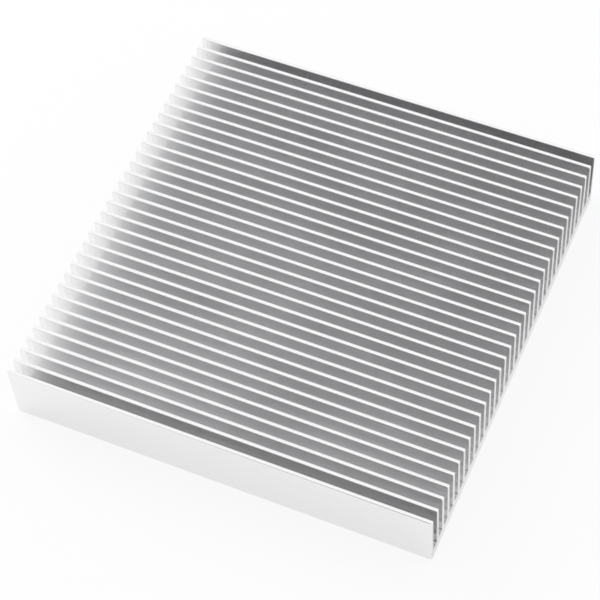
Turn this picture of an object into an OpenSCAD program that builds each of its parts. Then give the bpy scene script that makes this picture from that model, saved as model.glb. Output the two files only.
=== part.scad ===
// Extruded heat sink: a flat base plate with straight fins, cut to length from one
// aluminium extrusion. X runs along the fins, Y across them and Z up. The origin is
// the centre of the flat underside, where the hot device is fastened.

/* [Plate] */
// Length that the extrusion is sawn to, along the fins
cut_length = 120; // [60:1:300]
// Height from the underside to the fin tips
total_height = 20; // [12:0.5:40]
// Thickness of the base plate under the channels
base_thickness = 4; // [2:0.5:8]

/* [Fins] */
// Number of fins, with the two side fins
fin_count = 34; // [6:1:60]
// Distance from one fin to the next
fin_pitch = 3.7; // [3.4:0.1:8]
// Thickness of an inner fin at its tip
fin_tip = 1.1; // [0.9:0.1:1.2]
// Thickness of an inner fin at its root
fin_root = 1.4; // [1.2:0.1:2]
// Thickness of each of the two side fins at its tip
side_fin_tip = 1.1; // [0.9:0.1:3]

/* [Edges] */
// Radius along both edges of a fin tip
tip_radius = 0.2; // [0.1:0.05:0.4]
// Radius where a fin wall runs into the channel floor
root_radius = 0.5; // [0.1:0.1:0.6]
// Radius along the two lower edges of the base
base_radius = 0.5; // [0.2:0.1:1.5]
// Chamfer that breaks the outer edges of the two sawn ends
saw_chamfer = 0.3; // [0.1:0.1:1]

/* [Hidden] */
// Facets in a full circle of the small radii
$fn = 32;
// How far a cutting shape runs past the surface that it cuts
past = 1;

channel_count = fin_count - 1;
channel_depth = total_height - base_thickness;
mouth_width = fin_pitch - fin_tip;
floor_width = fin_pitch - fin_root;
plate_width = (channel_count - 1) * fin_pitch + mouth_width + 2 * side_fin_tip;

// Slope of a channel wall from upright, since each fin is thicker at its root
draft = atan((mouth_width - floor_width) / 2 / channel_depth);

// The same outline seen in a mirror, run the other way round so that both halves join
function mirrored(points) = [
    for (i = [len(points) - 1 : -1 : 0]) [-points[i].x, points[i].y]
];

// Air space between two fins, about its centre line: the walls lean outwards from a
// rounded root to a mouth that rounds over both fin tips
module channel() {
    root_centre = [
        floor_width / 2 + root_radius * (tan(draft) - 1 / cos(draft)),
        base_thickness + root_radius
    ];
    tip_centre = [
        mouth_width / 2 + tip_radius * (1 / cos(draft) - tan(draft)),
        total_height - tip_radius
    ];
    wall_normal = [cos(draft), -sin(draft)];
    half = [
        [root_centre.x, base_thickness],
        root_centre + root_radius * wall_normal,
        tip_centre - tip_radius * wall_normal,
        tip_centre,
        [tip_centre.x, total_height + past]
    ];
    difference() {
        union() {
            polygon(concat(half, mirrored(half)));
            for (side = [-1, 1])
                translate([side * root_centre.x, root_centre.y]) circle(r = root_radius);
        }
        for (side = [-1, 1])
            translate([side * tip_centre.x, tip_centre.y]) circle(r = tip_radius);
    }
}

// Solid outline of the extrusion before its channels, with its four long edges rounded
module slab() {
    lower = [plate_width / 2 - base_radius, base_radius];
    upper = [plate_width / 2 - tip_radius, total_height - tip_radius];
    half = [
        [lower.x, 0],
        [plate_width / 2, lower.y],
        [plate_width / 2, upper.y],
        [upper.x, total_height]
    ];
    union() {
        polygon(concat(half, mirrored(half)));
        for (side = [-1, 1]) {
            translate([side * lower.x, lower.y]) circle(r = base_radius);
            translate([side * upper.x, upper.y]) circle(r = tip_radius);
        }
    }
}

// Cross-section that the die gives: Y to the right and Z up
module section() {
    difference() {
        slab();
        for (i = [0 : channel_count - 1])
            translate([(i - (channel_count - 1) / 2) * fin_pitch, 0]) channel();
    }
}

// Rectangle about the origin with its four corners cut off at 45 degrees
module chamfered_rectangle(size, chamfer) {
    x = size.x / 2;
    y = size.y / 2;
    half = [[x - chamfer, -y], [x, chamfer - y], [x, y - chamfer], [x - chamfer, y]];
    polygon(concat(half, mirrored(half)));
}

module heat_sink() {
    color("silver")
        intersection() {
            rotate([90, 0, 90])
                linear_extrude(height = cut_length, center = true) section();
            // side view, which breaks the upper and lower edges of the sawn ends
            translate([0, 0, total_height / 2])
                rotate([90, 0, 0])
                    linear_extrude(height = plate_width + 2 * past, center = true)
                        chamfered_rectangle([cut_length, total_height], saw_chamfer);
            // plan view, which breaks the four upright corners
            translate([0, 0, -past])
                linear_extrude(height = total_height + 2 * past)
                    chamfered_rectangle([cut_length, plate_width], saw_chamfer);
        }
}

heat_sink();
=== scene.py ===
"""Extruded heat sink: finish of the bare metal, and the stage that it is shown on.

The object is one extrusion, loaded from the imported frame. Lengths are in metres: X runs
along the fins, Y across them and Z up, and the origin is the centre of the underside.
"""

import math

import bpy
from bpy.props import FloatProperty, FloatVectorProperty, PointerProperty
from mathutils import Matrix, Vector


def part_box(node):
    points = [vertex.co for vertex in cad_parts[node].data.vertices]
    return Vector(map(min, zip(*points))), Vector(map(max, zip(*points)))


bl_info = {
    "name": "Extruded Heat Sink",
    "version": (1, 0, 0),
    "blender": (4, 5, 0),
    "location": "View3D > Sidebar > Heat Sink",
    "description": "Gives a finned aluminium extrusion its mill finish and sets its stage",
    "category": "Material",
}

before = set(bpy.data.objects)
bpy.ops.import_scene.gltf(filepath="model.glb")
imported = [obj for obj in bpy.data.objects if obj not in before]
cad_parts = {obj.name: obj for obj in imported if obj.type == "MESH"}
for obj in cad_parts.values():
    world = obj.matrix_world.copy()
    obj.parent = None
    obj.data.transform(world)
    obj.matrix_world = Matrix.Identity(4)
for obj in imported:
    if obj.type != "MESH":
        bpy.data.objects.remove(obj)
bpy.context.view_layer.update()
NODE = "heat_sink"
LOW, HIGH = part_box(NODE)
MM = 0.001
ALONG_FINS = (1.0, 0.0, 0.0)
WHITE = (1.0, 1.0, 1.0, 1.0)

# Repeats per metre: die lines and bands along X, and haze along X, Y and Z
LINES_ALONG = 5.0
BANDS_ALONG = 9.0
HAZE_SCALE = (45.0, 70.0, 90.0)
# Repeats of the bands to one repeat of the die lines, across the extrusion
BAND_TO_LINE = 0.12
# Depth of the die lines to that of the saw marks
DIE_LINE_DEPTH = 0.35
# What lies this close to either end is sawn
SAWN_SKIN = 0.05 * MM
# Hub of the saw blade: its Y, and its depth under the plate in blade radii
BLADE_HUB_Y = -35.0 * MM
BLADE_DROP = 0.6

FLOOR_SIZE = 6.0
KEY_PLACE = (-0.8, 0.3, 0.5)
KEY_SIZE = (0.6, 0.5)
CAMERA_AIM = Vector((-0.17 * MM, -6.54 * MM, 10.0 * MM))
# Where the mirrored room turns dark, as parts of a direction: near side along Y, right along X
DARK_FROM_Y = (0.2, -0.35)
DARK_FROM_X = (-0.42, -0.08)
# Light bounces many times from wall to wall before it leaves a channel
BOUNCES = 20


class MillFinish(bpy.types.PropertyGroup):
    """Bare aluminium as it leaves the die and the saw."""

    metal: FloatVectorProperty(
        name="Metal",
        description="Colour of the bare aluminium",
        subtype="COLOR",
        size=3,
        min=0.0,
        max=1.0,
        default=(0.94, 0.94, 0.943),
    )
    die_line_width: FloatProperty(
        name="Die line width",
        description="Typical width of the fine lines that the die leaves along the extrusion",
        unit="LENGTH",
        subtype="DISTANCE",
        default=0.35 * MM,
        min=0.05 * MM,
        max=3.0 * MM,
    )
    saw_line_width: FloatProperty(
        name="Saw line width",
        description="Spacing of the curved marks on the two sawn ends",
        unit="LENGTH",
        subtype="DISTANCE",
        default=0.45 * MM,
        min=0.1 * MM,
        max=3.0 * MM,
    )
    saw_blade_radius: FloatProperty(
        name="Saw blade radius",
        description="Radius of the blade that cut the extrusion to length",
        unit="LENGTH",
        subtype="DISTANCE",
        default=150.0 * MM,
        min=50.0 * MM,
        max=500.0 * MM,
    )
    # Strength of the painted shade: the colour of the two outermost channels is darkened to stand
    # in for the shade that falls in them
    painted_channel_shade: FloatProperty(
        name="Painted channel shade",
        description="How much a thin film dulls the two outermost channels",
        subtype="FACTOR",
        default=0.07,
        min=0.0,
        max=1.0,
    )
    gloss: FloatProperty(
        name="Roughness",
        description="Mean roughness of the drawn surfaces",
        subtype="FACTOR",
        default=0.14,
        min=0.05,
        max=1.0,
    )


class Stage(bpy.types.PropertyGroup):
    """Floor, lights and camera."""

    floor: FloatVectorProperty(
        name="Floor",
        description="Colour of the pale floor",
        subtype="COLOR",
        size=3,
        min=0.0,
        max=1.0,
        default=(0.95, 0.95, 0.95),
    )
    white: FloatProperty(
        name="Plain white",
        description="Share of plain white in the floor as the camera sees it; the rest is lit",
        subtype="FACTOR",
        default=0.85,
        min=0.0,
        max=1.0,
    )
    mirrored_white: FloatProperty(
        name="Plain white in the metal",
        description="Share of plain white in the floor as the metal reflects it",
        subtype="FACTOR",
        default=0.6,
        min=0.0,
        max=1.0,
    )
    sky: FloatProperty(
        name="Sky",
        description="Strength of the even light from all round",
        default=0.85,
        min=0.0,
        max=2.0,
    )
    dark: FloatProperty(
        name="Dark room",
        description="How much darker the mirrored room is on the near side and the right",
        subtype="FACTOR",
        default=0.9,
        min=0.0,
        max=1.0,
    )
    key_power: FloatProperty(
        name="Key power",
        description="Power of the soft key light on the left",
        unit="POWER",
        default=3.0,
        min=0.0,
        max=100.0,
    )
    distance: FloatProperty(
        name="Camera distance",
        description="From the camera to the point that it looks at",
        unit="LENGTH",
        subtype="DISTANCE",
        default=580.5 * MM,
        min=100.0 * MM,
        max=3000.0 * MM,
    )
    azimuth: FloatProperty(
        name="Camera azimuth",
        description="Turn of the camera about Z from straight in front of the side fin",
        unit="ROTATION",
        subtype="ANGLE",
        default=math.radians(27.849),
        min=-math.pi,
        max=math.pi,
    )
    elevation: FloatProperty(
        name="Camera elevation",
        description="Height of the camera above the horizon",
        unit="ROTATION",
        subtype="ANGLE",
        default=math.radians(56.478),
        min=-math.pi / 2,
        max=math.pi / 2,
    )
    roll: FloatProperty(
        name="Camera roll",
        description="Turn of the camera about its own axis",
        unit="ROTATION",
        subtype="ANGLE",
        default=math.radians(-5.226),
        min=-math.pi,
        max=math.pi,
    )
    lens: FloatProperty(
        name="Lens",
        description="Focal length for a sensor 36 mm wide, in millimetres",
        default=128.05,
        min=10.0,
        max=500.0,
    )


class Graph:
    """Adds shader nodes to one node tree and links them."""

    def __init__(self, tree):
        self.tree = tree
        tree.nodes.clear()

    def node(self, kind, inputs=None, **settings):
        made = self.tree.nodes.new(kind)
        for key, value in settings.items():
            setattr(made, key, value)
        for key, value in (inputs or {}).items():
            if isinstance(value, bpy.types.NodeSocket):
                self.tree.links.new(value, made.inputs[key])
            else:
                made.inputs[key].default_value = value
        return made

    def math(self, operation, *values):
        made = self.node("ShaderNodeMath", dict(enumerate(values)), operation=operation)
        return made.outputs[0]

    def vector(self, operation, *values):
        made = self.node("ShaderNodeVectorMath", dict(enumerate(values)), operation=operation)
        return made.outputs["Value" if operation == "DISTANCE" else "Vector"]

    def span(self, value, low, high, start=0.0, end=1.0):
        """Maps low..high to start..end and holds the ends."""
        made = self.node(
            "ShaderNodeMapRange",
            {"Value": value, "From Min": low, "From Max": high, "To Min": start, "To Max": end},
            clamp=True,
        )
        return made.outputs["Result"]

    def noise(self, place, detail=2.0, roughness=0.5):
        made = self.node(
            "ShaderNodeTexNoise",
            {"Vector": place, "Scale": 1.0, "Detail": detail, "Roughness": roughness},
        )
        return made.outputs[0]

    def scaled(self, place, x, y, z):
        return self.vector("MULTIPLY", place, (x, y, z))

    def rays(self):
        """The kinds of ray, and 1 for camera and transmission rays alone."""
        kinds = self.node("ShaderNodeLightPath").outputs
        direct = self.math("MAXIMUM", kinds["Is Camera Ray"], kinds["Is Transmission Ray"])
        return kinds, direct

    def mix(self, factor, a, b):
        made = self.node(
            "ShaderNodeMix", {"Factor": factor, "A": a, "B": b}, data_type="FLOAT"
        )
        return made.outputs["Result"]


def drawn_marks(g, place, line_width):
    """Noise for the die lines, for broader bands beside them and for a faint haze."""
    fine = 1.0 / line_width
    broad = BAND_TO_LINE * fine
    lines = g.noise(g.scaled(place, LINES_ALONG, fine, fine), detail=3.0, roughness=0.6)
    bands = g.noise(g.scaled(place, BANDS_ALONG, broad, broad), detail=2.0)
    haze = g.noise(g.scaled(place, *HAZE_SCALE), detail=4.0, roughness=0.55)
    return lines, bands, haze


def saw_marks(g, place, along, finish):
    """Noise for the arcs on a sawn end, and the direction in which the arcs run."""
    hub = (0.0, BLADE_HUB_Y, -BLADE_DROP * finish.saw_blade_radius)
    flat = g.scaled(place, 0.0, 1.0, 1.0)
    arc = g.math("MULTIPLY", g.vector("DISTANCE", flat, hub), 1.0 / finish.saw_line_width)
    arc_place = g.node("ShaderNodeCombineXYZ", {"X": arc, "Y": along}).outputs[0]
    lines = g.noise(arc_place, detail=3.0, roughness=0.7)
    return lines, g.vector("CROSS_PRODUCT", g.vector("SUBTRACT", flat, hub), ALONG_FINS)


def outer_channel_painted_shade(g, axes):
    """Mask of painted shade: 1 in the two outermost channels, fading out towards the fin tips, so
    that the colour is darkened where these deep channels lie in shade.

    The strips of the underside and of the sawn ends beside those channels get it too.
    """
    across = g.math("ABSOLUTE", axes["Y"])
    near_side = g.span(across, HIGH.y - 5.2 * MM, HIGH.y - 4.6 * MM)
    under_skin = g.math("LESS_THAN", across, HIGH.y - 0.3 * MM)
    low = g.span(axes["Z"], HIGH.z - 1.0 * MM, HIGH.z - 6.0 * MM)
    return g.math("MULTIPLY", g.math("MULTIPLY", near_side, under_skin), low)


def mill_aluminium(finish):
    """Drawn surfaces with die lines along X, and sawn ends with curved marks."""
    material = bpy.data.materials.new("mill_aluminium")
    material.use_nodes = True
    g = Graph(material.node_tree)
    place = g.node("ShaderNodeTexCoord").outputs["Object"]
    axes = g.node("ShaderNodeSeparateXYZ", {"Vector": place}).outputs

    die_lines, bands, haze = drawn_marks(g, place, finish.die_line_width)
    saw_lines, round_blade = saw_marks(g, place, axes["X"], finish)
    sawn = g.math("GREATER_THAN", g.math("ABSOLUTE", axes["X"]), HIGH.x - SAWN_SKIN)

    streaks = g.span(die_lines, 0.3, 0.7, -0.02, 0.02)
    shade = g.math("ADD", streaks, g.span(haze, 0.3, 0.7, 0.98, 1.0))
    # Painted shade: the colour of the two outermost channels is darkened, most towards their
    # floor
    shade = g.math("SUBTRACT", shade, g.math("MULTIPLY", outer_channel_painted_shade(g, axes), finish.painted_channel_shade))
    colour = g.node(
        "ShaderNodeMix",
        {"Factor": shade, 6: (0.0, 0.0, 0.0, 1.0), 7: (*finish.metal, 1.0)},
        data_type="RGBA",
    ).outputs[2]

    line_rough = g.span(die_lines, 0.3, 0.7, finish.gloss - 0.03, finish.gloss + 0.03)
    haze_rough = g.span(haze, 0.35, 0.7, -0.03, 0.06)
    band_rough = g.span(bands, 0.35, 0.65, -0.02, 0.02)
    drawn_rough = g.math("ADD", line_rough, g.math("ADD", haze_rough, band_rough))
    rough = g.mix(sawn, drawn_rough, g.span(saw_lines, 0.3, 0.7, 0.38, 0.55))

    height = g.mix(sawn, g.math("MULTIPLY", die_lines, DIE_LINE_DEPTH), saw_lines)
    bump = g.node("ShaderNodeBump", {"Strength": 0.25, "Distance": 0.02 * MM, "Height": height})
    grain = g.node(
        "ShaderNodeMix", {"Factor": sawn, 4: ALONG_FINS, 5: round_blade}, data_type="VECTOR"
    ).outputs[1]
    skin = g.node(
        "ShaderNodeBsdfPrincipled",
        {
            "Base Color": colour,
            "Roughness": rough,
            "Metallic": 1.0,
            "Anisotropic": 0.3,
            "Anisotropic Rotation": 0.25,
            "Tangent": grain,
            "Normal": bump.outputs[0],
        },
    )
    g.node("ShaderNodeOutputMaterial", {"Surface": skin.outputs[0]})
    return material


class HEATSINK_OT_finish(bpy.types.Operator):
    """Give the extrusion its mill finish and its sawn ends"""

    bl_idname = "heatsink.finish"
    bl_label = "Finish Extrusion"

    def execute(self, context):
        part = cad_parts[NODE]
        part.data.materials.clear()
        part.data.materials.append(mill_aluminium(context.scene.heatsink_finish))
        return {"FINISHED"}


def floor_material(stage):
    """Pale floor that keeps the object's shadow and shows almost white to the camera."""
    material = bpy.data.materials.new("pale_floor")
    material.use_nodes = True
    g = Graph(material.node_tree)
    lit = g.node("ShaderNodeBsdfDiffuse", {"Color": (*stage.floor, 1.0)})
    white = g.node("ShaderNodeEmission", {"Color": WHITE, "Strength": 1.0})
    kinds, direct = g.rays()
    seen = g.math("MULTIPLY", direct, stage.white)
    mirrored = g.math("MULTIPLY", kinds["Is Glossy Ray"], stage.mirrored_white)
    white_share = g.math("MAXIMUM", seen, mirrored)
    both = g.node("ShaderNodeMixShader", {0: white_share, 1: lit.outputs[0], 2: white.outputs[0]})
    g.node("ShaderNodeOutputMaterial", {"Surface": both.outputs[0]})
    return material


def sky(scene, stage):
    """Even light from all round, and white to the camera.

    The metal mirrors a room that darkens towards the near side and the right.
    """
    world = bpy.data.worlds.new("studio")
    world.use_nodes = True
    scene.world = world
    g = Graph(world.node_tree)
    direction = g.node("ShaderNodeTexCoord").outputs["Generated"]
    toward = g.node("ShaderNodeSeparateXYZ", {"Vector": direction}).outputs
    near = g.span(toward["Y"], *DARK_FROM_Y)
    right = g.span(toward["X"], *DARK_FROM_X)
    shaded = g.math("MULTIPLY", g.math("MULTIPLY", near, right), stage.dark)
    room = g.math("SUBTRACT", 1.0, shaded)
    kinds, direct = g.rays()
    strength = g.mix(kinds["Is Glossy Ray"], stage.sky, room)
    strength = g.mix(direct, strength, 1.0)
    light = g.node("ShaderNodeBackground", {"Color": WHITE, "Strength": strength})
    g.node("ShaderNodeOutputWorld", {"Surface": light.outputs[0]})


def key_light(scene, power):
    """Rectangular soft box on the left that faces the origin."""
    data = bpy.data.lights.new("key_left", "AREA")
    data.shape = "RECTANGLE"
    data.size, data.size_y = KEY_SIZE
    data.energy = power
    lamp = bpy.data.objects.new("key_left", data)
    lamp.location = KEY_PLACE
    lamp.rotation_euler = (-Vector(KEY_PLACE)).to_track_quat("-Z", "Y").to_euler()
    scene.collection.objects.link(lamp)


def camera(scene, stage):
    """Camera that looks down at the object from the near right."""
    data = bpy.data.cameras.new("camera")
    data.lens = stage.lens
    data.sensor_width = 36.0
    data.clip_start = 0.01
    back = Vector(
        (
            math.sin(stage.azimuth) * math.cos(stage.elevation),
            -math.cos(stage.azimuth) * math.cos(stage.elevation),
            math.sin(stage.elevation),
        )
    )
    turn = back.to_track_quat("Z", "Y").to_matrix().to_4x4()
    eye = bpy.data.objects.new("camera", data)
    eye.matrix_world = (
        Matrix.Translation(CAMERA_AIM + back * stage.distance)
        @ turn
        @ Matrix.Rotation(stage.roll, 4, "Z")
    )
    scene.collection.objects.link(eye)
    scene.camera = eye


class HEATSINK_OT_stage(bpy.types.Operator):
    """Set the floor, the lights and the camera"""

    bl_idname = "heatsink.stage"
    bl_label = "Set Stage"

    def execute(self, context):
        scene = context.scene
        stage = scene.heatsink_stage
        bpy.ops.object.select_all(action="DESELECT")
        bpy.ops.mesh.primitive_plane_add(size=FLOOR_SIZE, location=(0.0, 0.0, LOW.z))
        floor = context.active_object
        floor.name = "floor"
        bpy.ops.object.transform_apply(location=True, rotation=True, scale=True)
        floor.data.materials.append(floor_material(stage))
        sky(scene, stage)
        key_light(scene, stage.key_power)
        camera(scene, stage)
        scene.view_settings.view_transform = "Standard"
        scene.cycles.max_bounces = BOUNCES
        scene.cycles.glossy_bounces = BOUNCES
        return {"FINISHED"}


class HEATSINK_PT_panel(bpy.types.Panel):
    bl_idname = "HEATSINK_PT_panel"
    bl_label = "Heat Sink"
    bl_space_type = "VIEW_3D"
    bl_region_type = "UI"
    bl_category = "Heat Sink"

    def draw(self, context):
        for group in (context.scene.heatsink_finish, context.scene.heatsink_stage):
            column = self.layout.column(align=True)
            for key in group.__annotations__:
                column.prop(group, key)
        for operator in (HEATSINK_OT_finish, HEATSINK_OT_stage):
            self.layout.operator(operator.bl_idname)


CLASSES = (MillFinish, Stage, HEATSINK_OT_finish, HEATSINK_OT_stage, HEATSINK_PT_panel)


def register():
    for cls in CLASSES:
        bpy.utils.register_class(cls)
    bpy.types.Scene.heatsink_finish = PointerProperty(type=MillFinish)
    bpy.types.Scene.heatsink_stage = PointerProperty(type=Stage)


def unregister():
    del bpy.types.Scene.heatsink_stage
    del bpy.types.Scene.heatsink_finish
    for cls in reversed(CLASSES):
        bpy.utils.unregister_class(cls)


def main():
    register()
    bpy.ops.heatsink.finish()
    bpy.ops.heatsink.stage()


if __name__ == "__main__":
    main()
